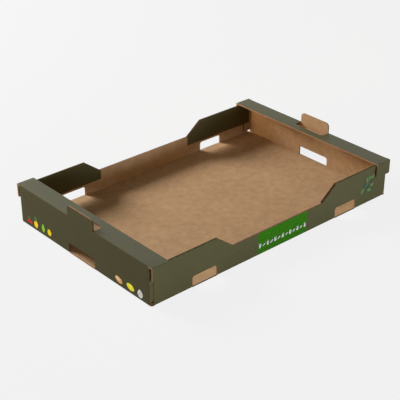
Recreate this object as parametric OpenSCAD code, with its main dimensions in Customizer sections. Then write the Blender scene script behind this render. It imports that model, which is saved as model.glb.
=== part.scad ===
// Stacking fruit tray, die-cut from one sheet of corrugated board and folded up.
// The sheet's bottom is at z = 0, x runs along the tray, and each panel runs into
// the next one through a rounded fold.

/* [Tray] */
// Length over the end walls
tray_l = 600; // [520:5:800]
// Width over the long sides, without the ears
tray_w = 390; // [300:5:590]
// Height to the top of the ledges
ledge_z = 78; // [72:1:110]

/* [Board] */
// Thickness of the board
board_t = 2.5; // [1.5:0.1:3.5]
// Outside radius of the folds, which are creased sharp on the inside
fold_r = 1.2; // [0.6:0.1:1.4]
// Air between two plies that lie on each other
ply_gap = 0.3; // [0.1:0.1:0.6]
// Width of a die cut between two neighbouring panels
cut_gap = 0.4; // [0.2:0.1:1]

/* [Long sides] */
// Height of the low middle
low_h = 46; // [40:1:56]
// Length of the low middle
low_l = 228; // [120:2:260]
// Run of the slopes beside the low middle
slope_l = 38; // [20:1:50]
// Depth of the flaps that are folded over to the inside
flap_depth = 48; // [36:0.5:50]

/* [Floor] */
// Radius of the corners
corner_r = 6; // [4:0.5:8]

/* [Bottom cut-outs] */
// Length of the cut-outs in the long sides
vent_l = 57; // [30:1:64]
// Distance of their centres from the middle of the tray
vent_x = 180; // [160:1:190]
// Height of all cut-outs along the bottom folds
vent_h = 21.5; // [14:0.5:26]
// Radius of their upper corners
vent_r = 5; // [2:0.5:8]

/* [Ledges and ears] */
// Width of a ledge, from the outside of the end wall
ledge_w = 36.6; // [30:0.2:50]
// Height of the ears, from the top of the ledge
ear_h = 28.5; // [16:0.5:40]
// Air between an ear and the long side
ear_gap = 2.9; // [0.5:0.1:5]
// Radius of the ears' lower corners
ear_r = 3; // [1:0.5:6]

/* [Stacking tabs] */
// Width of a tab
tab_w = 76; // [40:1:140]
// Rise of a tab above the ledge
tab_rise = 21; // [12:0.5:24]
// Radius of a tab's upper corners, and of the slot that it leaves in the ledge
tab_r = 8; // [2:0.5:10]
// Play of a tab in the cut-out of the tray above, on each side
tab_play = 1; // [0.5:0.1:2]

/* [Corner laps] */
// Length of the laps that run from the end walls behind the long sides
lap_l = 20; // [14:1:70]
// Height of the open relief below the laps
relief_h = 8; // [6:0.5:12]
// Distance from the end walls' outside to the ends of the long sides
relief_l = 8; // [8:0.5:14]
// Room between a lap and the flap that is folded over beside it
lap_room = 0.6; // [0.5:0.1:3]

/* [Hidden] */
$fn = 48;
kraft = [0.67, 0.53, 0.39];
olive = [0.31, 0.30, 0.21];
over = 1;

half_l = tray_l / 2;
half_w = tray_w / 2;

// Creases on the inside of the right-angled folds
crease_x = half_l - board_t;
crease_y = half_w - board_t;
crease_z = ledge_z - board_t;

// The roll along the top of a long side, where the sheet turns back on itself
roll_i = ply_gap / 2;
roll_o = roll_i + board_t;
roll_top = ledge_z - board_t - ply_gap;
roll_z = roll_top - roll_o;
flap_z = roll_top - flap_depth;

// Outline of the long sides
side_x = half_l - relief_l;
low_x = low_l / 2;
slope_rise = roll_top - low_h;
roll_x = low_x + slope_l * (roll_z - low_h) / slope_rise;

// Layer of the inner plies: fold-over flaps and corner laps lie side by side in it
inner_y = half_w - 2 * board_t - ply_gap;
lap_top = ledge_z - board_t - lap_room;
lap_neck_x = side_x + lap_room;

// Ledges, ears, tabs and the slots that the tabs leave
ledge_x = half_l - ledge_w;
ear_y = half_w + ear_gap + board_t;
ear_crease_y = ear_y - board_t;
tab_top = ledge_z + tab_rise;
end_vent_l = tab_w + 2 * tab_play;

// Extrusions of an outline along an axis: along_x draws (y, z), along_y draws (x, z), along_z draws (x, y)
module along_x(from, to) translate([from, 0, 0]) rotate([90, 0, 90]) linear_extrude(to - from) children();
module along_y(from, to) translate([0, to, 0]) rotate([90, 0, 0]) linear_extrude(to - from) children();
module along_z(from, to) translate([0, 0, from]) linear_extrude(to - from) children();

module both_x() {
    children();
    mirror([1, 0, 0]) children();
}

module both_y() {
    children();
    mirror([0, 1, 0]) children();
}

// Section of a right-angled fold, in the first quadrant from its crease
module fold_section() {
    difference() {
        square(board_t);
        translate([board_t - fold_r, board_t - fold_r]) difference() {
            square(fold_r + over);
            circle(fold_r);
        }
    }
}

// Section of the roll, the upper half of a ring round its crease
module roll_section() {
    difference() {
        circle(roll_o);
        circle(roll_i);
        translate([-roll_o - over, -roll_o - over]) square([2 * (roll_o + over), roll_o + over]);
    }
}

// Upright rectangle from low to high with rounded upper corners, centred on the vertical axis
module arch(width, low, high, radius) {
    translate([-width / 2, low]) square([width, high - low - radius]);
    translate([-width / 2 + radius, low]) square([width - 2 * radius, high - low]);
    for (side = [-1, 1])
        translate([side * (width / 2 - radius), high - radius]) circle(radius);
}

// Floor, which stays flat out to its raw edge at the cut-outs and at the corners
module floor_panel() {
    color(kraft) along_z(0, board_t) {
        square([2 * crease_x, 2 * crease_y], center = true);
        square([tray_l, end_vent_l - 2 * cut_gap], center = true);
        both_x() translate([vent_x, 0]) square([vent_l - 2 * cut_gap, tray_w], center = true);
        both_x() both_y() intersection() {
            translate([side_x + cut_gap, inner_y + cut_gap]) square(relief_l);
            arch(tray_l, 0, half_w, corner_r);
        }
    }
}

// Outer ply of a long side, with its low middle, slopes and cut-outs
module side_outline() {
    difference() {
        polygon([[-side_x, board_t], [side_x, board_t], [side_x, roll_z], [roll_x, roll_z], [low_x, low_h],
            [-low_x, low_h], [-roll_x, roll_z], [-side_x, roll_z]]);
        both_x() translate([vent_x, 0]) arch(vent_l, 0, vent_h, vent_r);
    }
}

// Roll and inner flap at one end of a long side, cut along the slope of the outer ply
module fold_over() {
    intersection() {
        along_x(low_x, side_x) translate([half_w - roll_o, roll_z]) roll_section();
        along_y(inner_y - over, half_w + over)
            polygon([[low_x, low_h], [low_x + 2 * slope_l, low_h + 2 * slope_rise],
                [half_l, low_h + 2 * slope_rise], [half_l, low_h]]);
    }
    along_y(inner_y, inner_y + board_t)
        polygon([[low_x, flap_z], [side_x, flap_z], [side_x, roll_z], [roll_x, roll_z], [low_x, low_h]]);
}

module long_side() {
    vent_from = vent_x - vent_l / 2;
    vent_to = vent_x + vent_l / 2;
    color(olive) {
        for (span = [[-side_x, -vent_to], [-vent_from, vent_from], [vent_to, side_x]])
            along_x(span[0], span[1]) translate([crease_y, board_t]) rotate(-90) fold_section();
        along_y(half_w - board_t, half_w) side_outline();
        both_x() fold_over();
    }
}

// End wall between its corner folds, with the tab that stands up out of it
module end_panel() {
    along_x(half_l - board_t, half_l) {
        difference() {
            translate([-inner_y, board_t]) square([2 * inner_y, crease_z - board_t]);
            arch(end_vent_l, 0, vent_h, vent_r);
        }
        arch(tab_w, crease_z, tab_top, tab_r);
    }
}

// Corner fold and the lap behind the long side, trimmed round the fold-over flap
module corner_lap() {
    along_z(board_t + cut_gap, lap_top) translate([crease_x, inner_y]) fold_section();
    along_y(inner_y, inner_y + board_t)
        polygon([[crease_x, relief_h], [crease_x - lap_l, relief_h], [crease_x - lap_l, flap_z - lap_room],
            [lap_neck_x, flap_z - lap_room], [lap_neck_x, lap_top], [crease_x, lap_top]]);
}

// Ledge with the slot that the tab leaves, turned down at its ends into the ears
module ledge_outline() {
    slot_w = tab_w + 2 * cut_gap;
    difference() {
        union() {
            translate([ledge_x, -ear_crease_y]) square([crease_x - ledge_x, 2 * ear_crease_y]);
            both_y() translate([ledge_x, inner_y + cut_gap])
                square([ledge_w, ear_crease_y - inner_y - cut_gap]);
        }
        rotate(90) translate([0, -half_l]) arch(slot_w, 0, tab_rise, tab_r);
    }
}

module ear() {
    along_x(ledge_x, half_l) translate([ear_crease_y, crease_z]) fold_section();
    along_y(ear_y - board_t, ear_y) translate([half_l - ledge_w / 2, 0]) mirror([0, 1])
        arch(ledge_w, -crease_z, ear_h - ledge_z, ear_r);
}

module end_wall() {
    color(olive) {
        end_panel();
        both_y() {
            along_y(end_vent_l / 2, inner_y) translate([crease_x, board_t]) rotate(-90) fold_section();
            along_y(tab_w / 2 + cut_gap, inner_y) translate([crease_x, crease_z]) fold_section();
            corner_lap();
            ear();
        }
        along_z(ledge_z - board_t, ledge_z) ledge_outline();
    }
}

module folded_tray() {
    floor_panel();
    both_y() long_side();
    both_x() end_wall();
}

folded_tray();
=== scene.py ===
"""Looks of a stacking fruit tray: one sheet of corrugated board, printed outside and folded up."""

import math

import bmesh
import bpy
from bpy.props import FloatProperty, FloatVectorProperty, IntProperty, PointerProperty
from mathutils import Matrix, Quaternion, Vector


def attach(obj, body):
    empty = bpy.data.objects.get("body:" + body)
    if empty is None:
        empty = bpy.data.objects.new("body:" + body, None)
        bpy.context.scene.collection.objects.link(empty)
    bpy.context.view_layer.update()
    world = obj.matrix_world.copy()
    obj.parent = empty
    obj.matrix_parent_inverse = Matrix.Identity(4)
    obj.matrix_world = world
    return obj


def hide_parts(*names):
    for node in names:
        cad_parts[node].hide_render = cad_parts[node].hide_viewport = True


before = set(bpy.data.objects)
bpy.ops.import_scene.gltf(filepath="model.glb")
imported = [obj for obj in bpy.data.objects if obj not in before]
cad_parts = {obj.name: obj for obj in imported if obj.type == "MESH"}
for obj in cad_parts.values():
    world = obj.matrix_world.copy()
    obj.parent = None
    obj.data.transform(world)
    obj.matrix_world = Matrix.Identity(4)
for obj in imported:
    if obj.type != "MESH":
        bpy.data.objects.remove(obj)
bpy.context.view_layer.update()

bl_info = {
    "name": "Folded fruit tray",
    "version": (1, 0, 0),
    "blender": (4, 5, 0),
    "location": "View3D > Sidebar > Tray",
    "description": "Folds a printed fruit tray from one sheet of corrugated board",
    "category": "Object",
}

MM = 0.001
RIGHT = math.pi / 2
ALONG_X, ALONG_Y, ALONG_Z = (1, 0, 0), (0, 1, 0), (0, 0, 1)

# Points closer than this are one point, and a point may lie this share of a line past its ends.
WELD = 1e-6
END_SLACK = 1e-4

# Least share of its direction in the normal of a level edge and of an upright panel.
LEVEL = 0.9
UPRIGHT = 0.7

# Facets of a panel's rounded corner and of a printed disc.
ROUND_STEPS = 8
DISC_STEPS = 32

# Faces that meet at more than this angle keep a sharp edge.
SHARP = math.radians(28)

# Noise lies mostly between these two values.
NOISE_LOW, NOISE_HIGH = 0.3, 0.7

# The sheet's own coordinates, the mark of its creases, and the places of its inside face.
SHEET = "sheet"
CREASE = "crease"
INSIDE_POINT = "inside_point"

# Numbers of the board's materials.
OUTSIDE, INSIDE, LIP, HOLLOW, LEDGE, LEVEL_EDGE = range(6)


def setting(kind, name, default, description, **settings):
    return kind(name=name, default=default, description=description, **settings)


def size(name, millimetres, description):
    return setting(FloatProperty, name, millimetres * MM, description, unit="LENGTH", precision=5)


def whole_number(name, number, description):
    return setting(IntProperty, name, number, description, min=1)


def turn_angle(name, degrees, description):
    return setting(FloatProperty, name, math.radians(degrees), description, unit="ROTATION")


def tint(name, colour, description):
    return setting(
        FloatVectorProperty, name, colour, description, size=3, subtype="COLOR", min=0.0, max=1.0)


def way(name, vector, description):
    return setting(FloatVectorProperty, name, vector, description, size=3, subtype="DIRECTION")


def position(name, metres, description):
    return setting(
        FloatVectorProperty, name, metres, description, size=3, subtype="TRANSLATION", unit="LENGTH")


def extents(name, metres, description):
    return setting(FloatVectorProperty, name, metres, description, size=2, unit="LENGTH")


def power(name, watts, description):
    return setting(FloatProperty, name, watts, description, unit="POWER")


class TrayBoard(bpy.types.PropertyGroup):
    """Sizes of the sheet and of its folded panels."""

    length: size("Length", 600, "Length over the end walls")
    width: size("Width", 390, "Width over the long sides")
    ledge_z: size("Ledge height", 78, "Height of the top of the ledges")
    thick: size("Board", 2.5, "Thickness of the board")
    fold: size("Fold", 1.2, "Outside radius of a fold")
    ply_gap: size("Ply gap", 0.3, "Air between two plies that lie on each other")
    cut: size("Cut", 0.4, "Width of a die cut")
    corner_r: size("Floor corner", 6, "Radius of the floor's corners")
    low_h: size("Low middle", 46, "Height of the low middle of a long side")
    low_l: size("Low length", 228, "Length of the low middle")
    slope_l: size("Slope", 38, "Run of the slopes beside the low middle")
    flap_depth: size("Flap depth", 48, "Depth of the fold-over flaps")
    vent_x: size("Cut-out place", 180, "Distance of the side cut-outs from the middle")
    vent_l: size("Cut-out length", 57, "Length of the side cut-outs")
    vent_h: size("Cut-out height", 21.5, "Height of all bottom cut-outs")
    vent_r: size("Cut-out corner", 5, "Radius of the cut-outs' corners")
    ledge_w: size("Ledge width", 36.6, "Width of a ledge")
    ear_h: size("Ear height", 28.5, "Height of the ears, from the top of the ledge")
    ear_gap: size("Ear gap", 2.9, "Air between an ear and the long side")
    ear_r: size("Ear corner", 3, "Radius of the ears' corners")
    tab_w: size("Tab width", 76, "Width of a stacking tab")
    tab_rise: size("Tab rise", 21, "Rise of a tab above the ledge")
    tab_r: size("Tab corner", 8, "Radius of the tabs' corners")
    tab_play: size("Tab play", 1, "Room on each side of a tab in an end cut-out")
    lap_l: size("Lap length", 20, "Length of the corner laps")
    lap_room: size("Lap room", 0.6, "Room between a lap and the flap beside it")
    relief_h: size("Relief height", 8, "Height of the open relief below the laps")
    relief_l: size("Relief length", 8, "Distance of the long sides' ends from the end walls")
    strip: size("Strip", 12, "Width of the strips along the folds")
    liner: size("Liner", 0.25, "Thickness of the board's two liners")
    hollow: size("Hollow", 1.2, "Depth to which the raw edges are open")
    hollow_draft: size("Hollow draft", 0.02, "Narrowing of the open raw edges")
    flute_pitch: size("Flute pitch", 6.2, "Distance from one flute to the next")
    flute_paper: size("Flute paper", 0.3, "Thickness of the fluted paper")
    flute_end: size("Flute end", 0.1, "Room at the ends of the fluted paper")
    flute_room: size("Flute room", 0.05, "Room between the fluted paper and the liners")
    flute_set: size("Flute set", 0.1, "Distance of the fluted paper from the raw edge")
    flute_depth: size("Flute depth", 1.05, "Depth of a strip of fluted paper")
    flute_steps: whole_number("Flute steps", 12, "Facets of one wave of the fluted paper")
    fold_steps: whole_number("Fold steps", 8, "Facets of a right-angled fold")


class TrayPrint(bpy.types.PropertyGroup):
    """Sizes and places of the print."""

    ink: size("Ink", 0.04, "Height of one layer of ink")
    field_x: size("Field place", 10.5, "Middle of the green field, from the middle of the front")
    field_z: size("Field height", 23.5, "Middle of the green field, from the bottom")
    field_l: size("Field length", 125, "Length of the green field")
    field_h: size("Field width", 43, "Width of the green field")
    row_z: size("Row height", 17, "Height of the pale row on the green field")
    row_pitch: size("Row pitch", 9.6, "Distance between figures of the pale row")
    row_count: whole_number("Row count", 13, "Figures in the pale row")


class TrayColours(bpy.types.PropertyGroup):
    """Colours of the board and its print, as linear values."""

    olive: tint("Olive ink", (0.074, 0.065, 0.0275), "Ink that covers the outside")
    # Painted shade: the ledges' ink is darker than the walls' ink, to offset the stronger light on these
    # level tops. Its lower roughness and stronger sheen come from real rubbing.
    shaded_ledge: tint("Shaded ledge ink", (0.058, 0.056, 0.021), "Ink on the ledges, smoother and painted darker as shade")
    sheen: tint("Sheen", (0.93, 0.97, 1.0), "Cool sheen of the ink")
    kraft: tint("Kraft liner", (0.380, 0.229, 0.114), "Bare inside of the board")
    fleck: tint("Fleck", (0.2356, 0.142, 0.0707), "Dark flecks in the kraft liner")
    pressed: tint("Pressed edge", (0.32, 0.175, 0.095), "Raw edges that the die pressed shut")
    # Painted light: level raw edges across the flutes are lighter than open ones, for light from above
    # falling into their flutes.
    lit_level: tint("Lit level edge", (0.192, 0.105, 0.057), "Level raw edges across the flutes")
    # Painted shade: open raw edges are kept far darker than pressed ones, for the shade inside their
    # hollows and flutes.
    hollow: tint("Open edge", (0.0832, 0.0455, 0.0247), "Open raw edges across the flutes")
    # Partly painted shade: the fluted paper's own brown, darkened for the shade of the hollow it sits in.
    fluted: tint("Fluted paper", (0.128, 0.070, 0.038), "Paper between the two liners")
    green: tint("Label green", (0.022, 0.118, 0.001), "Field on the front")
    row: tint("Row ink", (0.52, 0.45, 0.46), "Row on the green field")
    leaf: tint("Leaf green", (0.080, 0.190, 0.052), "Leaves")
    slate: tint("Slate green", (0.045, 0.055, 0.042), "Dark leaves")
    red: tint("Red", (0.75, 0.02, 0.04), "Cherries")
    yellow: tint("Yellow", (0.95, 0.68, 0.010), "Pineapple and quince")
    lime: tint("Lime", (0.28, 0.62, 0.03), "Pear")
    orange: tint("Orange", (0.78, 0.40, 0.13), "Mango")
    peach: tint("Peach", (0.85, 0.62, 0.40), "Cheek of the mango")
    lemon: tint("Lemon", (0.92, 0.84, 0.050), "Lemon")
    pale: tint("Pale ink", (0.78, 0.75, 0.72), "Garlic")
    clove: tint("Clove", (0.36, 0.32, 0.30), "Lines between the cloves")


class TrayStage(bpy.types.PropertyGroup):
    """Camera, floor and light."""

    eye: position("Camera", (-1.224753, -1.36788, 1.021051), "Place of the camera")
    yaw: turn_angle("Yaw", -41.395, "Turn of the camera round the object")
    pitch: turn_angle("Pitch", 28.722, "Height angle of the camera")
    roll: turn_angle("Roll", -0.147, "Tilt of the camera to the side")
    lens: setting(FloatProperty, "Lens", 97.03, "Focal length of the camera", unit="CAMERA")
    floor_reach: size("Floor reach", 8000, "Distance of the floor's edges from the middle")
    floor: tint("Floor", (0.888, 0.888, 0.888), "Pale floor")
    shadow: setting(FloatProperty, "Shadow", 0.05, "Share of the floor's own light and shade",
                    min=0.0, max=1.0, subtype="FACTOR")
    bounce_tone: tint("Bounced floor", (0.86, 0.86, 0.86), "Tone in which the floor throws light back")
    sky: setting(FloatProperty, "Sky", 0.14, "Strength of the light from all round")
    sky_tint: tint("Sky colour", (1.0, 0.88, 0.66), "Warm colour of the light from all round")
    main: power("Main light", 140.0, "Power of the softbox behind")
    main_way: way("Main direction", (-0.26, 0.785, 0.49), "From the tray to the softbox behind it")
    main_far: size("Main distance", 3000, "Distance of the softbox behind")
    main_extent: extents("Main extent", (1.5, 1.5), "Extent of the softbox behind")
    side: power("Side light", 0.085, "Power of the far wall's softbox")
    side_place: position("Side place", (-0.9, 0.10, 0.30), "Place of the far wall's softbox")
    side_extent: extents("Side extent", (0.75, 0.12), "Extent of the far wall's softbox")
    corner: power("Corner light", 0.19, "Power of the corner's softbox")
    corner_place: position("Corner place", (-0.9, 0.30, 0.30), "Place of the corner's softbox")
    corner_extent: extents("Corner extent", (0.25, 0.12), "Extent of the corner's softbox")
    side_dip: turn_angle("Side dip", 9.5, "Angle at which these two softboxes look down")
    side_grid: turn_angle("Side grid", 18, "Angle to which their grids narrow the light")
    side_tint: tint("Side colour", (1.0, 0.75, 0.49), "Warm colour of these two softboxes")
    fill: power("Fill light", 7.4, "Power of the softbox in front")
    fill_way: way("Fill direction", (0.12, -0.85, 0.40), "From the tray to the softbox in front of it")
    fill_far: size("Fill distance", 2500, "Distance of the softbox in front")
    fill_extent: extents("Fill extent", (2.0, 1.2), "Extent of the softbox in front")
    fill_tint: tint("Fill colour", (1.0, 0.72, 0.38), "Warm colour of the softbox in front")
    bounce: power("Bounce", 1.38, "Power of the low panel in front")
    bounce_place: position("Bounce place", (0.05, -1.0, 0.058), "Place of the low panel in front")
    bounce_extent: extents("Bounce extent", (1.6, 0.10), "Extent of the low panel in front")
    bounce_grid: turn_angle("Bounce grid", 35, "Angle to which a grid narrows its light")
    bounce_tint: tint("Bounce colour", (0.68, 0.82, 1.0), "Cool colour of the low panel in front")


def plug(tree, node, sockets):
    """Fills a node's sockets; each takes a value or another node's output."""
    for key, value in sockets.items():
        if isinstance(value, bpy.types.NodeSocket):
            tree.links.new(value, node.inputs[key])
        else:
            node.inputs[key].default_value = value


def add(tree, kind, sockets=None, **settings):
    """Adds a shader node with its settings and sockets."""
    node = tree.nodes.new("ShaderNode" + kind)
    for key, value in settings.items():
        setattr(node, key, value)
    plug(tree, node, sockets or {})
    return node


def maths(tree, operation, first, second=0.0):
    return add(tree, "Math", {0: first, 1: second}, operation=operation).outputs[0]


def times(tree, value, factor):
    return maths(tree, "MULTIPLY", value, factor)


def total(tree, first, *others):
    for other in others:
        first = maths(tree, "ADD", first, other)
    return first


def ramp(tree, value, low, high, to_low=0.0, to_high=1.0):
    return add(tree, "MapRange", {
        "Value": value, "From Min": low, "From Max": high, "To Min": to_low, "To Max": to_high}).outputs[0]


def noise(tree, coords, scale, detail=2.0, roughness=0.5):
    return add(tree, "TexNoise", {
        "Vector": coords, "Scale": scale, "Detail": detail, "Roughness": roughness}).outputs["Fac"]


def swing(tree, value, to_low, to_high):
    """Noise drawn out to a range."""
    return ramp(tree, value, NOISE_LOW, NOISE_HIGH, to_low, to_high)


def blend(tree, factor, first, second, kind="MIX"):
    sockets = {0: factor, 6: first, 7: second}
    return add(tree, "Mix", sockets, data_type="RGBA", blend_type=kind).outputs[2]


def opaque(colour):
    return (*colour, 1.0)


def shaded(tree, colour, shade):
    """A colour made lighter and darker by a shade round 1."""
    grey = add(tree, "CombineColor", {"Red": shade, "Green": shade, "Blue": shade}).outputs[0]
    return blend(tree, 1.0, opaque(colour), grey, "MULTIPLY")


def empty_tree(owner):
    """Node tree of a new material or world, without the nodes that it starts with."""
    owner.use_nodes = True
    owner.node_tree.nodes.clear()
    return owner.node_tree


def new_material(name):
    material = bpy.data.materials.new(name)
    tree = empty_tree(material)
    shader = add(tree, "BsdfPrincipled")
    add(tree, "OutputMaterial", {"Surface": shader.outputs[0]})
    return material, tree, shader


def object_coords(tree):
    return add(tree, "TexCoord").outputs["Object"]


def sheet_coords(tree):
    """The sheet's own coordinates, along and across its flutes."""
    return add(tree, "UVMap", uv_map=SHEET).outputs["UV"]


def washboard(tree, flat, pitch):
    """Faint waves of the liner over the flutes, from -1 to 1."""
    across = add(tree, "SeparateXYZ", {"Vector": flat}).outputs["Y"]
    return maths(tree, "SINE", times(tree, across, 2.0 * math.pi / pitch))


def bump(tree, height, millimetres):
    return add(tree, "Bump", {"Height": height, "Distance": millimetres * MM, "Strength": 1.0}).outputs[0]


def kraft_liner(board, colours):
    """Bare brown liner with fibres, flecks and soft clouds."""
    material, tree, shader = new_material("kraft_liner")
    places, flat = object_coords(tree), sheet_coords(tree)
    clouds = noise(tree, places, 9.0, 3.0, 0.55)
    mottles = noise(tree, places, 70.0, 4.0, 0.65)
    drawn = add(tree, "Mapping", {"Vector": flat, "Scale": (420.0, 45.0, 1.0)}).outputs[0]
    streaks = noise(tree, drawn, 1.0, 5.0, 0.6)
    fibres = noise(tree, places, 900.0, 3.0, 0.65)
    waves = washboard(tree, flat, board.flute_pitch)
    shade = total(
        tree, swing(tree, clouds, 0.95, 1.05), swing(tree, streaks, -0.08, 0.08),
        swing(tree, mottles, -0.13, 0.13), swing(tree, fibres, -0.05, 0.05), times(tree, waves, 0.010))
    flecks = times(tree, ramp(tree, noise(tree, places, 330.0, 2.0, 0.7), 0.66, 0.74), 0.35)
    plug(tree, shader, {
        "Base Color": blend(tree, flecks, shaded(tree, colours.kraft, shade), opaque(colours.fleck)),
        "Roughness": 0.8,
        "Specular IOR Level": 0.4,
        "Normal": bump(tree, total(tree, fibres, times(tree, waves, 0.5)), 0.06)})
    return material


def olive_ink(name, board, colours, tone, roughness, sheen):
    """Dull ink over the liner, a little worn along the folds."""
    material, tree, shader = new_material(name)
    places, flat = object_coords(tree), sheet_coords(tree)
    clouds = noise(tree, places, 8.0, 4.0, 0.55)
    grain = noise(tree, places, 1100.0, 3.0, 0.6)
    waves = washboard(tree, flat, board.flute_pitch)
    shade = total(
        tree, swing(tree, clouds, 0.96, 1.04), times(tree, waves, 0.006), swing(tree, grain, -0.05, 0.05))
    crease = add(tree, "Attribute", attribute_name=CREASE).outputs["Fac"]
    scuffs = ramp(tree, noise(tree, places, 260.0, 4.0, 0.7), 0.52, 0.68)
    wear = times(tree, times(tree, crease, scuffs), 0.06)
    pinholes = times(tree, ramp(tree, noise(tree, places, 700.0, 1.0), 0.70, 0.76), 0.06)
    bare = total(tree, wear, pinholes)
    plug(tree, shader, {
        "Base Color": blend(tree, bare, shaded(tree, tone, shade), opaque(colours.kraft)),
        "Roughness": ramp(tree, clouds, 0.25, 0.75, roughness - 0.05, roughness + 0.05),
        "Specular IOR Level": sheen,
        "Specular Tint": opaque(colours.sheen),
        "Normal": bump(tree, total(tree, grain, times(tree, waves, 0.4)), 0.03)})
    return material


def cut_paper(name, colour, roughness):
    """Cut or inner paper of the board, brown and fibrous."""
    material, tree, shader = new_material(name)
    places = object_coords(tree)
    fibres = noise(tree, places, 1500.0, 3.0, 0.7)
    patches = noise(tree, places, 90.0, 3.0, 0.6)
    shade = times(tree, swing(tree, fibres, 0.75, 1.2), swing(tree, patches, 0.85, 1.12))
    plug(tree, shader, {
        "Base Color": shaded(tree, colour, shade),
        "Roughness": roughness,
        "Specular IOR Level": 0.1,
        "Normal": bump(tree, fibres, 0.08)})
    return material


def print_ink(name, colour):
    """One printed colour, with the grain of the paper under it."""
    if name in bpy.data.materials:
        return bpy.data.materials[name]
    material, tree, shader = new_material(name)
    places = object_coords(tree)
    grain = noise(tree, places, 1000.0, 3.0, 0.6)
    clouds = noise(tree, places, 40.0, 3.0)
    shade = times(tree, swing(tree, grain, 0.92, 1.08), swing(tree, clouds, 0.95, 1.05))
    plug(tree, shader, {
        "Base Color": shaded(tree, colour, shade),
        "Roughness": swing(tree, clouds, 0.55, 0.65),
        "Specular IOR Level": 0.06,
        "Normal": bump(tree, grain, 0.03)})
    return material


def panel(bm, outline, onto, rounds=()):
    """Flat panel from its outline; rounds gives corner numbers and their radius."""
    corners = [bm.verts.new(onto(*point)) for point in outline]
    bm.faces.new(corners)
    for numbers, radius in rounds:
        bmesh.ops.bevel(
            bm, geom=[corners[number] for number in numbers], offset=radius, offset_type="OFFSET",
            affect="VERTICES", segments=ROUND_STEPS, profile=0.5, material=-1)


def arc(centre, radius, start, end, steps):
    """Points on an arc in a panel's outline."""
    angles = [start + (end - start) * step / steps for step in range(steps + 1)]
    return [(centre[0] + radius * math.cos(angle), centre[1] + radius * math.sin(angle))
            for angle in angles]


def point_on(point, start, span):
    along = (point - start).dot(span) / span.length_squared
    return -END_SLACK < along < 1 + END_SLACK and (start + span * along - point).length < WELD


def edges_between(bm, ends):
    """The edges that lie between pairs of end points."""
    lines = [(Vector(first), Vector(last) - Vector(first)) for first, last in ends]
    return [edge for edge in bm.edges
            if any(all(point_on(vert.co, *line) for vert in edge.verts) for line in lines)]


class Fold:
    """A fold: its outside turns round a centre, its inside round a crease with a share of the radius."""

    def __init__(self, ends, centre, crease, axis, angle, kept):
        self.ends, self.centre, self.crease = ends, centre, Vector(crease)
        self.axis, self.angle, self.kept = Vector(axis), angle, kept

    def turn(self, bm, number, steps):
        """Spins the edges between the end points round the centre."""
        before = set(bm.faces)
        bmesh.ops.spin(
            bm, geom=edges_between(bm, self.ends), cent=self.centre, axis=self.axis, angle=self.angle,
            steps=steps, use_duplicate=False)
        numbers = bm.faces.layers.int[CREASE]
        for face in bm.faces:
            if face not in before:
                face[numbers] = number

    def inside(self, point):
        """The point of the inside face that belongs to one of the outside face."""
        base = self.crease + self.axis * (point - self.crease).dot(self.axis)
        return base + (point - base) * self.kept


def face_out(bm):
    """Turns the faces of the sheet to its outside, which is underneath on the floor."""
    bmesh.ops.recalc_face_normals(bm, faces=bm.faces)
    if min(bm.faces, key=lambda face: face.calc_center_median().z).normal.z > 0:
        bmesh.ops.reverse_faces(bm, faces=bm.faces)


def lap_outside(board):
    """Distance of the laps' outside from the middle."""
    return board.width / 2 - board.thick - board.ply_gap


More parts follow.
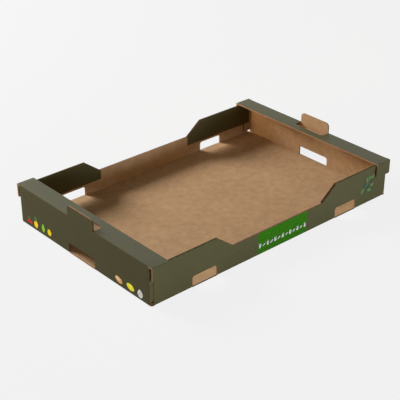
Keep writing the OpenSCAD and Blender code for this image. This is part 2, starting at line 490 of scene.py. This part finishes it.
class Quarter:
    """Outside face of a quarter of the sheet, folded up panel by panel at the back right."""

    def __init__(self, board):
        self.board, self.folds, self.bm = board, [], bmesh.new()
        self.bm.faces.layers.int.new(CREASE)
        self.bm.verts.layers.float_vector.new(INSIDE_POINT)
        self.end_x, self.wall_y = board.length / 2, board.width / 2
        self.flat_x, self.flat_y = self.end_x - board.fold, self.wall_y - board.fold
        self.flat_z = board.ledge_z - board.fold
        self.crease_x, self.crease_y = self.end_x - board.thick, self.wall_y - board.thick
        self.crease_z = board.ledge_z - board.thick
        self.side_x = self.end_x - board.relief_l
        self.lap_y = lap_outside(board)
        self.inner_y = self.lap_y - board.thick
        self.roll_top = self.crease_z - board.ply_gap
        self.flap_z = self.roll_top - board.flap_depth
        self.vent_from = board.vent_x - board.vent_l / 2
        self.vent_to = board.vent_x + board.vent_l / 2
        self.tab_y = board.tab_w / 2
        self.end_vent_y = self.tab_y + board.tab_play
        self.slot_y = self.tab_y + board.cut

    def turn(self, ends, centre, crease, axis, angle, kept=0.0):
        steps = round(self.board.fold_steps * abs(angle) / RIGHT)
        self.folds.append(Fold(ends, centre, crease, axis, angle, kept))
        self.folds[-1].turn(self.bm, len(self.folds), steps)

    def floor(self):
        """Floor with its raw edge at the cut-outs, and the folds up to the walls."""
        board, cut = self.board, self.board.cut
        flat_x, flat_y = self.flat_x, self.flat_y
        corner_x, corner_y = self.end_x - board.corner_r, self.wall_y - board.corner_r
        corner_from = math.asin((self.inner_y + cut - corner_y) / board.corner_r)
        panel(self.bm, [
            (0, 0), (self.end_x, 0), (self.end_x, self.end_vent_y - cut),
            (flat_x, self.end_vent_y - cut), (flat_x, self.end_vent_y),
            (flat_x, self.inner_y), (flat_x, self.inner_y + cut),
            *arc((corner_x, corner_y), board.corner_r, corner_from, RIGHT, board.fold_steps),
            (self.side_x + cut, self.wall_y), (self.side_x + cut, flat_y), (self.side_x, flat_y),
            (self.vent_to, flat_y), (self.vent_to - cut, flat_y), (self.vent_to - cut, self.wall_y),
            (self.vent_from + cut, self.wall_y), (self.vent_from + cut, flat_y),
            (self.vent_from, flat_y), (0, flat_y)],
            lambda x, y: (x, y, 0))
        self.turn([((self.vent_to, flat_y, 0), (self.side_x, flat_y, 0)),
                   ((0, flat_y, 0), (self.vent_from, flat_y, 0))],
                  (0, flat_y, board.fold), (0, self.crease_y, board.thick), ALONG_X, RIGHT)
        self.turn([((flat_x, self.end_vent_y, 0), (flat_x, self.inner_y, 0))],
                  (flat_x, 0, board.fold), (self.crease_x, 0, board.thick), ALONG_Y, -RIGHT)

    def long_side(self):
        """Long side with its low middle and cut-out, and the flap that is rolled over to the inside."""
        board, side_x, wall_y = self.board, self.side_x, self.wall_y
        roll = board.thick + board.ply_gap / 2
        roll_y, roll_z = wall_y - roll, self.roll_top - roll
        low_x = board.low_l / 2
        slope = board.slope_l / (self.roll_top - board.low_h)
        roll_x = low_x + slope * (roll_z - board.low_h)
        panel(self.bm, [
            (0, board.fold), (self.vent_from, board.fold), (self.vent_from, board.vent_h),
            (self.vent_to, board.vent_h), (self.vent_to, board.fold), (side_x, board.fold),
            (side_x, roll_z), (roll_x, roll_z), (low_x, board.low_h), (0, board.low_h)],
            lambda x, z: (x, wall_y, z), [((2, 3), board.vent_r)])
        self.turn([((roll_x, wall_y, roll_z), (side_x, wall_y, roll_z))],
                  (0, roll_y, roll_z), (0, roll_y, roll_z), ALONG_X, 2 * RIGHT, 1 - board.thick / roll)
        for vert in self.bm.verts:
            if abs(vert.co.x - roll_x) < WELD and vert.co.z > roll_z + WELD:
                vert.co.x = low_x + slope * (vert.co.z - board.low_h)
        panel(self.bm, [
            (side_x, roll_z), (side_x, self.flap_z), (low_x, self.flap_z), (low_x, board.low_h),
            (roll_x, roll_z)],
            lambda x, z: (x, roll_y - roll, z))

    def end_wall(self):
        """End wall with its cut-out and tab, and the lap that is turned round the corner."""
        board, flat_z = self.board, self.flat_z
        relief_z, flat_y = board.thick + board.cut, self.lap_y - board.fold
        lap_x, neck_x = self.crease_x - board.lap_l, self.side_x + board.lap_room
        lap_top, step_z = self.crease_z - board.lap_room, self.flap_z - board.lap_room
        tab_top = board.ledge_z + board.tab_rise
        panel(self.bm, [
            (0, board.vent_h), (self.end_vent_y, board.vent_h), (self.end_vent_y, board.fold),
            (self.inner_y, board.fold), (self.inner_y, relief_z), (flat_y, relief_z),
            (flat_y, board.relief_h), (flat_y, lap_top), (self.inner_y, lap_top), (self.inner_y, flat_z),
            (self.slot_y, flat_z), (self.tab_y, flat_z), (self.tab_y, tab_top), (0, tab_top)],
            lambda y, z: (self.end_x, y, z), [((1,), board.vent_r), ((12,), board.tab_r)])
        self.turn([((self.end_x, flat_y, relief_z), (self.end_x, flat_y, lap_top))],
                  (self.flat_x, flat_y, 0), (self.crease_x, self.inner_y, 0), ALONG_Z, RIGHT)
        panel(self.bm, [
            (self.flat_x, board.relief_h), (lap_x, board.relief_h), (lap_x, step_z), (neck_x, step_z),
            (neck_x, lap_top), (self.flat_x, lap_top)],
            lambda x, z: (x, self.lap_y, z))

    def ledge(self):
        """Ledge with the slot that the tab leaves, and the ear that is turned down from it."""
        board, end_x, flat_x, flat_z = self.board, self.end_x, self.flat_x, self.flat_z
        ledge_x, ledge_z = end_x - board.ledge_w, board.ledge_z
        slot_x, slot_y = end_x - board.tab_rise, self.slot_y
        ear_crease_y = self.wall_y + board.ear_gap
        ear_y, ear_z = ear_crease_y + board.thick, ledge_z - board.ear_h
        flat_y = ear_y - board.fold
        self.turn([((end_x, slot_y, flat_z), (end_x, self.inner_y, flat_z))],
                  (flat_x, 0, flat_z), (self.crease_x, 0, self.crease_z), ALONG_Y, -RIGHT)
        panel(self.bm, [
            (ledge_x, 0), (slot_x, 0), (slot_x, slot_y), (flat_x, slot_y), (flat_x, self.inner_y),
            (flat_x, self.inner_y + board.cut), (end_x, self.inner_y + board.cut), (end_x, flat_y),
            (ledge_x, flat_y)],
            lambda x, y: (x, y, ledge_z), [((2,), board.tab_r)])
        self.turn([((ledge_x, flat_y, ledge_z), (end_x, flat_y, ledge_z))],
                  (0, flat_y, flat_z), (0, ear_crease_y, self.crease_z), ALONG_X, -RIGHT)
        panel(self.bm, [(ledge_x, flat_z), (ledge_x, ear_z), (end_x, ear_z), (end_x, flat_z)],
              lambda x, z: (x, ear_y, z), [((1, 2), board.ear_r)])

    def join(self):
        """Joins the panels and notes for each point where the inside face lies."""
        bmesh.ops.remove_doubles(self.bm, verts=self.bm.verts, dist=5 * WELD)
        face_out(self.bm)
        numbers = self.bm.faces.layers.int[CREASE]
        inside_point = self.bm.verts.layers.float_vector[INSIDE_POINT]
        for vert in self.bm.verts:
            number = max(face[numbers] for face in vert.link_faces)
            if number:
                vert[inside_point] = self.folds[number - 1].inside(vert.co)
            else:
                vert[inside_point] = vert.co - vert.link_faces[0].normal * self.board.thick


def inside_of(vert, layer):
    """Point of the inside face at a point of the outside face, on its own side of the tray."""
    x, y, z = vert[layer]
    return Vector((math.copysign(x, vert.co.x), math.copysign(y, vert.co.y), z))


def everything(bm):
    return bm.verts[:] + bm.edges[:] + bm.faces[:]


def cut_strips(bm, board):
    """Cuts strips off along the folds, which keep the shading of the folds off the panels."""
    for place, normal in (
            ((board.length / 2 - board.strip, 0, 0), ALONG_X),
            ((0, board.width / 2 - board.strip, 0), ALONG_Y),
            ((0, 0, board.strip), ALONG_Z),
            ((0, 0, board.ledge_z - board.strip), ALONG_Z)):
        for sign in (1, -1):
            bmesh.ops.bisect_plane(
                bm, geom=everything(bm), plane_co=Vector(place) * sign, plane_no=normal, dist=WELD)


def lay_flutes(bm, board):
    """Gives each face its coordinates along and across the flutes."""
    flat = bm.loops.layers.uv.new(SHEET)
    lap_y = lap_outside(board)
    for face in bm.faces:
        upright = abs(face.normal.y) > UPRIGHT
        lap = upright and all(abs(abs(vert.co.y) - lap_y) < WELD for vert in face.verts)
        for loop in face.loops:
            x, y, z = loop.vert.co
            if lap:
                loop[flat].uv = (x, z)
            elif upright:
                loop[flat].uv = (z, x)
            else:
                loop[flat].uv = (y, x + z)


def mark_creases(bm):
    """Marks the points on folds, where the ink wears."""
    numbers = bm.faces.layers.int[CREASE]
    wear = bm.verts.layers.float.new(CREASE)
    for vert in bm.verts:
        vert[wear] = float(any(face[numbers] for face in vert.link_faces))
    bm.faces.layers.int.remove(numbers)


def folded_sheet(board):
    """Outside face of the whole sheet, with its flute coordinates and its creases marked."""
    quarter = Quarter(board)
    quarter.floor()
    quarter.long_side()
    quarter.end_wall()
    quarter.ledge()
    quarter.join()
    bm = quarter.bm
    for axis in "XY":
        bmesh.ops.mirror(bm, geom=everything(bm), merge_dist=WELD, axis=axis)
    face_out(bm)
    cut_strips(bm, board)
    lay_flutes(bm, board)
    mark_creases(bm)
    return bm


def across_flutes(loop, flat):
    """True where an edge of the sheet runs across the flutes."""
    span = loop.link_loop_next[flat].uv - loop[flat].uv
    return abs(span.y) > abs(span.x)


def cut_across(bm):
    """The raw edges that are cut across the flutes; the die presses those along the flutes shut."""
    flat = bm.loops.layers.uv[SHEET]
    return [face for face in bm.faces if face.material_index == LIP
            and any(across_flutes(loop, flat) for edge in face.edges for loop in edge.link_loops
                    if loop.face.material_index in (OUTSIDE, LEDGE))]


def give_thickness(bm, ledge_z):
    """Closes the sheet to a board: a copy lies on the inside points, and raw edges join the two faces."""
    outside = bm.faces[:]
    inside_point = bm.verts.layers.float_vector[INSIDE_POINT]
    grown = bmesh.ops.extrude_face_region(bm, geom=outside, use_keep_orig=True)["geom"]
    inside = [item for item in grown if isinstance(item, bmesh.types.BMFace)]
    points = [item for item in grown if isinstance(item, bmesh.types.BMVert)]
    for face in bm.faces:
        face.material_index = LIP
    for face in inside:
        face.material_index = INSIDE
    for face in outside:
        on_ledge = all(abs(vert.co.z - ledge_z) < WELD for vert in face.verts)
        face.material_index = LEDGE if on_ledge else OUTSIDE
    for vert in points:
        vert.co = inside_of(vert, inside_point)
    bmesh.ops.remove_doubles(bm, verts=points, dist=WELD)
    bmesh.ops.recalc_face_normals(bm, faces=bm.faces)


def open_edges(bm, board):
    """Sinks the raw edges across the flutes between the two liners; level ones stay flat and shut, in a
    lighter tone that is painted light from above falling into their flutes.
    """
    for face in cut_across(bm):
        # Level edges take the lighter tone that is painted light from above; the others are painted dark
        # as shade and sunk.
        face.material_index = LEVEL_EDGE if face.normal.z > LEVEL else HOLLOW
    rim = [face for face in bm.faces if face.material_index == HOLLOW]
    for thickness, depth in ((board.liner, 0.0), (board.hollow_draft, -board.hollow)):
        bmesh.ops.inset_region(
            bm, faces=rim, thickness=thickness, depth=depth, use_even_offset=True, use_boundary=True)


def piece(name, bm, materials, smooth_angle=None):
    """Object at the origin from a bmesh, riding on the tray."""
    mesh = bpy.data.meshes.new(name)
    bm.to_mesh(mesh)
    bm.free()
    for material in materials:
        mesh.materials.append(material)
    if smooth_angle is not None:
        mesh.shade_smooth()
        mesh.set_sharp_from_angle(angle=smooth_angle)
    made = bpy.data.objects.new(name, mesh)
    bpy.context.scene.collection.objects.link(made)
    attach(made, "root")
    return made


class TRAY_OT_board(bpy.types.Operator):
    """Folds the sheet and opens the raw edges that cut across its flutes"""

    bl_idname = "tray.board"
    bl_label = "Board"

    def execute(self, context):
        board, colours = context.scene.tray_board, context.scene.tray_colours
        materials = [
            olive_ink("olive_ink", board, colours, colours.olive, 0.6, 0.06),
            kraft_liner(board, colours),
            cut_paper("pressed_edge", colours.pressed, 0.9),
            # Raw edges across the flutes, painted dark as the shade in their hollows.
            cut_paper("shaded_open_edge", colours.hollow, 0.95),
            # The ledges' ink: painted darker as shade, and rubbed smoother and glossier.
            olive_ink("shaded_rubbed_ink", board, colours, colours.shaded_ledge, 0.48, 0.36),
            cut_paper("lit_level_edge", colours.lit_level, 0.9)]
        bm = folded_sheet(board)
        give_thickness(bm, board.ledge_z)
        open_edges(bm, board)
        made = piece("tray_board", bm, materials, SHARP)
        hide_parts("folded_tray")
        return {"FINISHED"}


class TRAY_OT_flutes(bpy.types.Operator):
    """Sets the fluted paper into the open raw edges"""

    bl_idname = "tray.flutes"
    bl_label = "Flutes"

    def execute(self, context):
        board, colours = context.scene.tray_board, context.scene.tray_colours
        sheet = folded_sheet(board)
        flat = sheet.loops.layers.uv[SHEET]
        bm = bmesh.new()
        for edge in sheet.edges:
            if edge.is_boundary and across_flutes(edge.link_loops[0], flat):
                flute_strip(bm, sheet, edge.link_loops[0], board)
        sheet.free()
        # The fluted paper's brown is darkened as painted shade of the hollows.
        made = piece("tray_flutes", bm, [cut_paper("fluted_paper", colours.fluted, 0.9)])
        paper = made.modifiers.new("paper", "SOLIDIFY")
        paper.thickness = board.flute_paper
        paper.offset = 0.0
        return {"FINISHED"}


def flute_strip(bm, sheet, loop, board):
    """Strip of fluted paper along one raw edge, waving with the distance across the flutes."""
    flat = sheet.loops.layers.uv[SHEET]
    inside_point = sheet.verts.layers.float_vector[INSIDE_POINT]
    first, last = loop.vert, loop.link_loop_next.vert
    length = (last.co - first.co).length
    inward = loop.face.normal.cross(last.co - first.co).normalized()
    # Level edges aren't open, and a very short one has no room for the paper.
    if length < 5 * board.flute_end or inward.z < -LEVEL:
        return
    half_wave = 0.5 - (board.liner + board.flute_paper / 2 + board.flute_room) / board.thick
    across, across_end = loop[flat].uv.y, loop.link_loop_next[flat].uv.y
    steps = max(1, math.ceil(abs(across_end - across) / board.flute_pitch * board.flute_steps))
    row = []
    for step in range(steps + 1):
        share = (board.flute_end + (length - 2 * board.flute_end) * step / steps) / length
        wave = math.sin(2 * math.pi * (across + (across_end - across) * share) / board.flute_pitch)
        outer = first.co.lerp(last.co, share)
        inner = inside_of(first, inside_point).lerp(inside_of(last, inside_point), share)
        row.append(bm.verts.new(outer.lerp(inner, 0.5 + half_wave * wave) + inward * board.flute_set))
    edges = [bm.edges.new(pair) for pair in zip(row, row[1:])]
    grown = bmesh.ops.extrude_edge_only(bm, edges=edges)["geom"]
    bmesh.ops.translate(bm, verts=[item for item in grown if isinstance(item, bmesh.types.BMVert)],
                        vec=inward * board.flute_depth)


def front_wall(board):
    """Axes of the front: along it to the right, up, and out of it."""
    return Matrix(((1, 0, 0, 0), (0, 0, -1, -board.width / 2), (0, 1, 0, 0), (0, 0, 0, 1)))


def left_wall(board):
    """Axes of the left end wall: along it to the right, up, and out of it."""
    return Matrix(((0, 0, -1, -board.length / 2), (-1, 0, 0, 0), (0, 1, 0, 0), (0, 0, 0, 1)))


def leaf(point):
    """Disc drawn out to two points."""
    return (point.x, point.y * abs(point.y), 0)


def pear(point):
    """Disc with a narrow upper half."""
    return (point.x * (1.0 - 0.42 * max(point.y, 0.0)), point.y, 0)


def tipped(point):
    """Disc with a small tip at both ends."""
    return (point.x, point.y * (0.72 + 0.28 * abs(point.y)), 0)


def bulb(point):
    """Disc drawn out to a tip on top."""
    return (point.x * (1.0 - 0.8 * max(point.y, 0.0) ** 1.5), point.y, 0)


def sideways(length, degrees):
    """Run to the side of a length that leans at an angle."""
    return length * math.cos(math.radians(degrees))


class Print:
    """Print on one wall, in its axes and in millimetres; a higher layer lies on the lower ones."""

    def __init__(self, wall, ink):
        self.bm, self.wall, self.ink = bmesh.new(), wall, ink

    def figure(self, place, radii, turn=0.0, form=None, colour=0, layer=0):
        """Disc that is bent to a form, stretched, turned and laid on the wall."""
        points = bmesh.ops.create_circle(self.bm, cap_ends=True, segments=DISC_STEPS, radius=1.0)["verts"]
        if form:
            for point in points:
                point.co = form(point.co)
        self.lay(points, place, radii, turn, colour, layer)

    def field(self, place, radii):
        """Rectangle laid on the wall."""
        points = bmesh.ops.create_grid(self.bm, x_segments=1, y_segments=1, size=1.0)["verts"]
        self.lay(points, place, radii, turn=0.0, colour=0, layer=0)

    def lay(self, points, place, radii, turn, colour, layer):
        """Puts a flat form on the wall, half a layer deep, and gives it its height."""
        spot = Matrix.Translation((place[0] * MM, place[1] * MM, -self.ink / 2))
        turned = Matrix.Rotation(math.radians(turn), 4, "Z")
        stretched = Matrix.Diagonal((radii[0] * MM, radii[1] * MM, 1, 1))
        bmesh.ops.transform(self.bm, verts=points, matrix=self.wall @ spot @ turned @ stretched)
        base = points[0].link_faces[0]
        base.material_index = colour
        grown = bmesh.ops.extrude_face_region(self.bm, geom=[base], use_keep_orig=True)["geom"]
        raised = [item for item in grown if isinstance(item, bmesh.types.BMVert)]
        height = self.wall.to_3x3() @ Vector((0, 0, self.ink * (layer + 1.5)))
        bmesh.ops.translate(self.bm, verts=raised, vec=height)
        for point in raised:
            for face in point.link_faces:
                face.material_index = colour

    def make(self, name, inks):
        bmesh.ops.recalc_face_normals(self.bm, faces=self.bm.faces)
        piece(name, self.bm, inks)


class TRAY_OT_label(bpy.types.Operator):
    """Prints the green field on the front, with a row of pale leaves and fruit"""

    bl_idname = "tray.label"
    bl_label = "Label"

    def execute(self, context):
        wall, sizes = front_wall(context.scene.tray_board), context.scene.tray_print
        colours = context.scene.tray_colours
        field = Print(wall, sizes.ink)
        field.field((sizes.field_x / MM, sizes.field_z / MM),
                    (sizes.field_l / 2 / MM, sizes.field_h / 2 / MM))
        field.make("label_field", [print_ink("green_ink", colours.green)])
        row = Print(wall, sizes.ink)
        middle = (sizes.row_count - 1) / 2
        z = sizes.row_z / MM
        for number in range(sizes.row_count):
            x = (sizes.field_x + (number - middle) * sizes.row_pitch) / MM
            if number % 2:
                row.figure((x, z), (4.4, 1.7), 35, leaf, layer=1)
            else:
                row.figure((x, z - 0.8), (3.0, 3.2), layer=1)
                for turn in (58, 122):
                    row.figure((x + sideways(2.6, turn), z + 3.8), (2.2, 0.9), turn, leaf, layer=2)
        row.make("label_row", [print_ink("row_ink", colours.row)])
        return {"FINISHED"}


class TRAY_OT_sprig(bpy.types.Operator):
    """Prints a small sprig at the right of the front"""

    bl_idname = "tray.sprig"
    bl_label = "Sprig"

    def execute(self, context):
        colours = context.scene.tray_colours
        light, dark = range(2)
        sprig = Print(front_wall(context.scene.tray_board), context.scene.tray_print.ink)
        sprig.figure((239, 38), (18, 0.7), 48, leaf, light)
        for place, radii, turn, colour in (
                ((228, 30), (7.0, 2.8), 72, light), ((234, 41), (8.5, 4.6), 66, dark),
                ((243, 34), (7.0, 3.8), 10, dark), ((248, 27), (6.5, 3.2), -18, light),
                ((252, 44), (6.0, 4.0), 18, dark), ((242, 51), (6.0, 2.6), 84, light),
                ((250, 54), (4.8, 2.5), 58, light), ((258, 53), (5.4, 2.5), 24, light),
                ((256, 36), (6.0, 3.0), 0, light)):
            sprig.figure(place, radii, turn, leaf, colour, 1 if colour == dark else 2)
        sprig.make("sprig", [print_ink("leaf_ink", colours.leaf), print_ink("slate_ink", colours.slate)])
        return {"FINISHED"}


class TRAY_OT_fruit(bpy.types.Operator):
    """Prints the fruit along the bottom of the left end wall"""

    bl_idname = "tray.fruit"
    bl_label = "Fruit"

    def execute(self, context):
        self.wall, self.ink = left_wall(context.scene.tray_board), context.scene.tray_print.ink
        self.colours = context.scene.tray_colours
        self.cherries((-165.3, 11.4))
        self.pineapple((-144.4, 13.0))
        self.whole("pear", "lime", (-121.0, 15.2), (4.7, 8.2), 6, pear, stalk=(-118.2, 22.6))
        self.whole("quince", "yellow", (-101.0, 14.0), (5.9, 6.6), 0, None, stalk=(-99.0, 21.4))
        self.whole("mango", "orange", (107.4, 12.4), (10.2, 5.8), -15, None, stalk=(99.0, 16.6),
                   cheek=(104.8, 13.8))
        self.whole("lemon", "lemon", (139.8, 12.8), (10.4, 6.3), -11, tipped, stalk=(130.2, 17.4))
        self.garlic((165.8, 12.6))
        return {"FINISHED"}

    def inks(self, *names):
        return [print_ink(name + "_ink", getattr(self.colours, name)) for name in names]

    def cherries(self, place):
        x, z = place
        pair = Print(self.wall, self.ink)
        for side in (-1, 1):
            pair.figure((x + 3.9 * side, z - 0.3 * side), (3.5, 3.5), layer=1)
            pair.figure((x + 2.4 * side, z + 4.8), (3.4, 0.5), 90 + 32 * side, leaf, 1)
        pair.figure((x - 2.4, z + 7.8), (4.0, 1.8), 8, leaf, 1, 1)
        pair.make("cherries", self.inks("red", "leaf"))

    def pineapple(self, place):
        x, z = place
        fruit = Print(self.wall, self.ink)
        for layer, turn in enumerate((64, 116, 90)):
            fruit.figure((x + sideways(4.2, turn), z + 10.0), (6.2, 3.0), turn, leaf, 1, layer)
        fruit.figure((x, z), (6.3, 7.2), layer=3)
        fruit.make("pineapple", self.inks("yellow", "leaf"))

    def whole(self, name, colour, place, radii, turn, form, stalk, cheek=None):
        """A fruit of one colour with a small leaf at its stalk and, where given, a paler cheek."""
        fruit = Print(self.wall, self.ink)
        fruit.figure(stalk, (2.6, 0.9), 40, leaf, 1)
        fruit.figure(place, radii, turn, form, layer=1)
        inks = self.inks(colour, "leaf")
        if cheek:
            fruit.figure(cheek, (0.62 * radii[0], 0.6 * radii[1]), turn, form, len(inks), 2)
            inks += self.inks("peach")
        fruit.make(name, inks)

    def garlic(self, place):
        x, z = place
        fruit = Print(self.wall, self.ink)
        fruit.figure((x, z), (7.2, 8.4), 8, bulb)
        for side in (-1, 1):
            fruit.figure((x + 2.6 * side, z - 1.2), (5.4, 0.6), 90 + 14 * side, leaf, 1, 1)
        fruit.make("garlic", self.inks("pale", "clove"))


class TRAY_OT_stage(bpy.types.Operator):
    """Sets up the floor, the lights and the camera"""

    bl_idname = "tray.stage"
    bl_label = "Stage"

    def execute(self, context):
        scene, stage = context.scene, context.scene.tray_stage
        scene.view_settings.view_transform = "Standard"
        self.make_floor(scene, stage)
        self.make_sky(scene, stage)
        self.make_lamps(scene, stage)
        self.make_camera(scene, stage)
        return {"FINISHED"}

    def make_floor(self, scene, stage):
        bm = bmesh.new()
        bmesh.ops.create_grid(bm, x_segments=1, y_segments=1, size=stage.floor_reach)
        mesh = bpy.data.meshes.new("floor")
        bm.to_mesh(mesh)
        bm.free()
        material = bpy.data.materials.new("pale_floor")
        tree = empty_tree(material)
        lit = add(tree, "BsdfDiffuse", {"Color": opaque(stage.floor)})
        thrown = add(tree, "BsdfDiffuse", {"Color": opaque(stage.bounce_tone)})
        plain = add(tree, "Emission", {"Color": opaque(stage.floor), "Strength": 1.0})
        seen = add(tree, "MixShader", {0: stage.shadow, 1: plain.outputs[0], 2: lit.outputs[0]})
        mixed = add(tree, "MixShader", {0: self.direct(tree), 1: thrown.outputs[0], 2: seen.outputs[0]})
        add(tree, "OutputMaterial", {"Surface": mixed.outputs[0]})
        mesh.materials.append(material)
        floor = bpy.data.objects.new("floor", mesh)
        scene.collection.objects.link(floor)

    def make_sky(self, scene, stage):
        world = bpy.data.worlds.new("studio")
        tree = empty_tree(world)
        dim = add(tree, "Background", {"Color": opaque(stage.sky_tint), "Strength": stage.sky})
        pale = add(tree, "Background", {"Color": opaque(stage.floor), "Strength": 1.0})
        mixed = add(tree, "MixShader", {0: self.direct(tree), 1: dim.outputs[0], 2: pale.outputs[0]})
        add(tree, "OutputWorld", {"Surface": mixed.outputs[0]})
        scene.world = world

    def direct(self, tree):
        """1 for what the camera sees straight, in a mirror or through glass."""
        path = add(tree, "LightPath").outputs
        return maths(tree, "MAXIMUM", path["Is Camera Ray"],
                     maths(tree, "MAXIMUM", path["Is Glossy Ray"], path["Is Transmission Ray"]))

    def make_lamps(self, scene, stage):
        main_way, fill_way = Vector(stage.main_way).normalized(), Vector(stage.fill_way).normalized()
        main = self.make_lamp(scene, "softbox", main_way * stage.main_far, -main_way, stage.main_extent,
                              stage.main)
        main.shape = "DISK"
        side_way = Vector((math.cos(stage.side_dip), 0, -math.sin(stage.side_dip)))
        for name, place, extent, watts in (
                ("side_softbox", stage.side_place, stage.side_extent, stage.side),
                ("corner_softbox", stage.corner_place, stage.corner_extent, stage.corner)):
            gridded = self.make_lamp(scene, name, place, side_way, extent, watts, stage.side_tint)
            gridded.spread = stage.side_grid
        self.make_lamp(scene, "front_softbox", fill_way * stage.fill_far, -fill_way, stage.fill_extent,
                       stage.fill, stage.fill_tint)
        low = self.make_lamp(scene, "front_panel", stage.bounce_place, Vector(ALONG_Y),
                             stage.bounce_extent, stage.bounce, stage.bounce_tint)
        low.spread = stage.bounce_grid

    def make_lamp(self, scene, name, place, facing, extent, watts, colour=(1, 1, 1)):
        data = bpy.data.lights.new(name, "AREA")
        data.color = colour
        data.shape = "RECTANGLE"
        data.size, data.size_y = extent
        data.energy = watts
        lamp = bpy.data.objects.new(name, data)
        lamp.location = place
        lamp.rotation_mode = "QUATERNION"
        lamp.rotation_quaternion = facing.to_track_quat("-Z", "Y")
        lamp.visible_camera = False
        scene.collection.objects.link(lamp)
        return data

    def make_camera(self, scene, stage):
        camera = bpy.data.objects.new("camera", bpy.data.cameras.new("camera"))
        scene.collection.objects.link(camera)
        level = math.cos(stage.pitch)
        back = Vector((math.sin(stage.yaw) * level, -math.cos(stage.yaw) * level, math.sin(stage.pitch)))
        camera.location = stage.eye
        camera.rotation_mode = "QUATERNION"
        camera.rotation_quaternion = (-back).to_track_quat("-Z", "Y") @ Quaternion(ALONG_Z, stage.roll)
        camera.data.lens = stage.lens
        scene.camera = camera


class TRAY_PT_panel(bpy.types.Panel):
    """Lists the steps that make the tray"""

    bl_idname = "TRAY_PT_panel"
    bl_label = "Folded fruit tray"
    bl_space_type = "VIEW_3D"
    bl_region_type = "UI"
    bl_category = "Tray"

    def draw(self, context):
        for step in STEPS:
            self.layout.operator(step.bl_idname)


GROUPS = {
    "tray_board": TrayBoard,
    "tray_print": TrayPrint,
    "tray_colours": TrayColours,
    "tray_stage": TrayStage,
}
STEPS = (TRAY_OT_stage, TRAY_OT_board, TRAY_OT_flutes, TRAY_OT_label, TRAY_OT_sprig, TRAY_OT_fruit)
CLASSES = (*GROUPS.values(), *STEPS, TRAY_PT_panel)


def register():
    for item in CLASSES:
        bpy.utils.register_class(item)
    for name, group in GROUPS.items():
        setattr(bpy.types.Scene, name, PointerProperty(type=group))


def unregister():
    for name in GROUPS:
        delattr(bpy.types.Scene, name)
    for item in reversed(CLASSES):
        bpy.utils.unregister_class(item)


def main():
    register()
    bpy.ops.tray.stage()
    bpy.ops.tray.board()
    bpy.ops.tray.flutes()
    bpy.ops.tray.label()
    bpy.ops.tray.sprig()
    bpy.ops.tray.fruit()
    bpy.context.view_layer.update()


if __name__ == "__main__":
    main()
